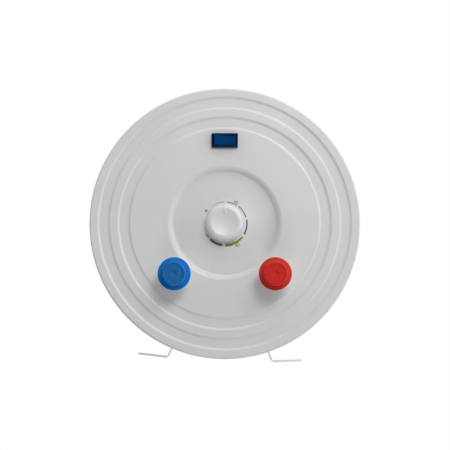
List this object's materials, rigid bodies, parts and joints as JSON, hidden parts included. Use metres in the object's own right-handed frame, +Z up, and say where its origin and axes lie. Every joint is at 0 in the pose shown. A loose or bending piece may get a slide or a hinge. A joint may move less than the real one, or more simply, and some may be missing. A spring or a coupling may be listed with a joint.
{
  "type": "storage water heater",
  "caption": "Small cylindrical wall-hung electric storage water heater with a thermostat knob, a rocker switch and capped pipe ends below.",
  "frame": {"origin": "wall plane, midway between the two slots of the wall bracket", "axes": "+Z up along the tank axis with the pipes pointing down, +Y into the wall, +X towards the hot pipe"},
  "size_m": [0.275, 0.2853, 0.528],
  "materials": {
    "black_plastic": "satin",
    "blue_plastic": "satin",
    "bracket_paint": "satin",
    "brass_plate": "satin",
    "case_paint": "gloss",
    "ceramic": "glazed",
    "cover_plastic": "satin",
    "earth_sheath": "satin",
    "foam": "matt",
    "knob_plastic": "satin",
    "lamp_glass": "clear",
    "live_sheath": "satin",
    "magnesium": "matt",
    "neutral_sheath": "satin",
    "red_plastic": "satin",
    "seal_rubber": "matt",
    "stainless": "bright",
    "switch_blue": "gloss",
    "switch_frame": "gloss",
    "tank_enamel": "gloss",
    "white_plastic": "satin",
    "zinc_steel": "zinc plated"
  },
  "bodies": {
    "heater": {"anode_nut": "zinc_steel", "anode_rod": "magnesium", "bracket_bolts": "zinc_steel", "bracket_bosses": "tank_enamel", "bracket_washers": "zinc_steel", "case_shell": "case_paint", "cold_pipe": "zinc_steel", "control_bridge": "zinc_steel", "cord_bushing": "black_plastic", "cover_screws": "zinc_steel", "earth_nut": "brass_plate", "earth_stud": "brass_plate", "earth_tag": "brass_plate", "earth_wire": "earth_sheath", "element_flange": "stainless", "element_insulators": "ceramic", "element_terminals": "brass_plate", "flange_gasket": "seal_rubber", "flange_nuts": "zinc_steel", "flange_ring": "tank_enamel", "flange_studs": "zinc_steel", "flange_washers": "zinc_steel", "foam_jacket": "foam", "heating_element": "stainless", "hot_pipe": "zinc_steel", "inlet_diffuser": "white_plastic", "live_wires": "live_sheath", "load_wires": "live_sheath", "lower_cover": "cover_plastic", "neutral_wire": "neutral_sheath", "pipe_collars": "tank_enamel", "pipe_seals": "seal_rubber", "switch_housing": "switch_frame", "switch_lamp": "lamp_glass", "switch_terminals": "brass_plate", "tank_barrel": "tank_enamel", "tank_lower_end": "tank_enamel", "tank_upper_end": "tank_enamel", "terminal_block": "white_plastic", "terminal_screws": "brass_plate", "thermostat_body": "black_plastic", "thermostat_pocket": "stainless", "thermostat_probe": "stainless", "thermostat_terminals": "brass_plate", "upper_cover": "cover_plastic", "upper_cover_screws": "zinc_steel", "wall_bracket": "bracket_paint"},
    "knob": {"thermostat_knob": "knob_plastic", "thermostat_spindle": "white_plastic"},
    "rocker": {"switch_rocker": "switch_blue"},
    "cold_transport_cap": {"cold_cap": "blue_plastic"},
    "hot_transport_cap": {"hot_cap": "red_plastic"},
    "cutout_button": {"reset_button": "red_plastic"}
  },
  "joints": [
    {"name": "knob_turn", "type": "hinge", "parent": "heater", "child": "knob", "pos_m": [0, -0.146, -0.35], "axis": [0, 0, -1], "range_deg": [-235, 57]},
    {"name": "rocker_tilt", "type": "hinge", "parent": "heater", "child": "rocker", "pos_m": [-0.00349, -0.22923, -0.351], "axis": [0.0419, 0.9991, 0], "range_deg": [0, 19]},
    {"name": "cold_cap_pull", "type": "slide", "parent": "heater", "child": "cold_transport_cap", "axis": [0, 0, -1], "range_m": [0, 0.025]},
    {"name": "hot_cap_pull", "type": "slide", "parent": "heater", "child": "hot_transport_cap", "axis": [0, 0, -1], "range_m": [0, 0.025]},
    {"name": "reset_press", "type": "slide", "parent": "heater", "child": "cutout_button", "axis": [0, 0, 1], "range_m": [0, 0.0015], "stiffness_N_per_m": 200, "springref_m": -0.002}
  ]
}
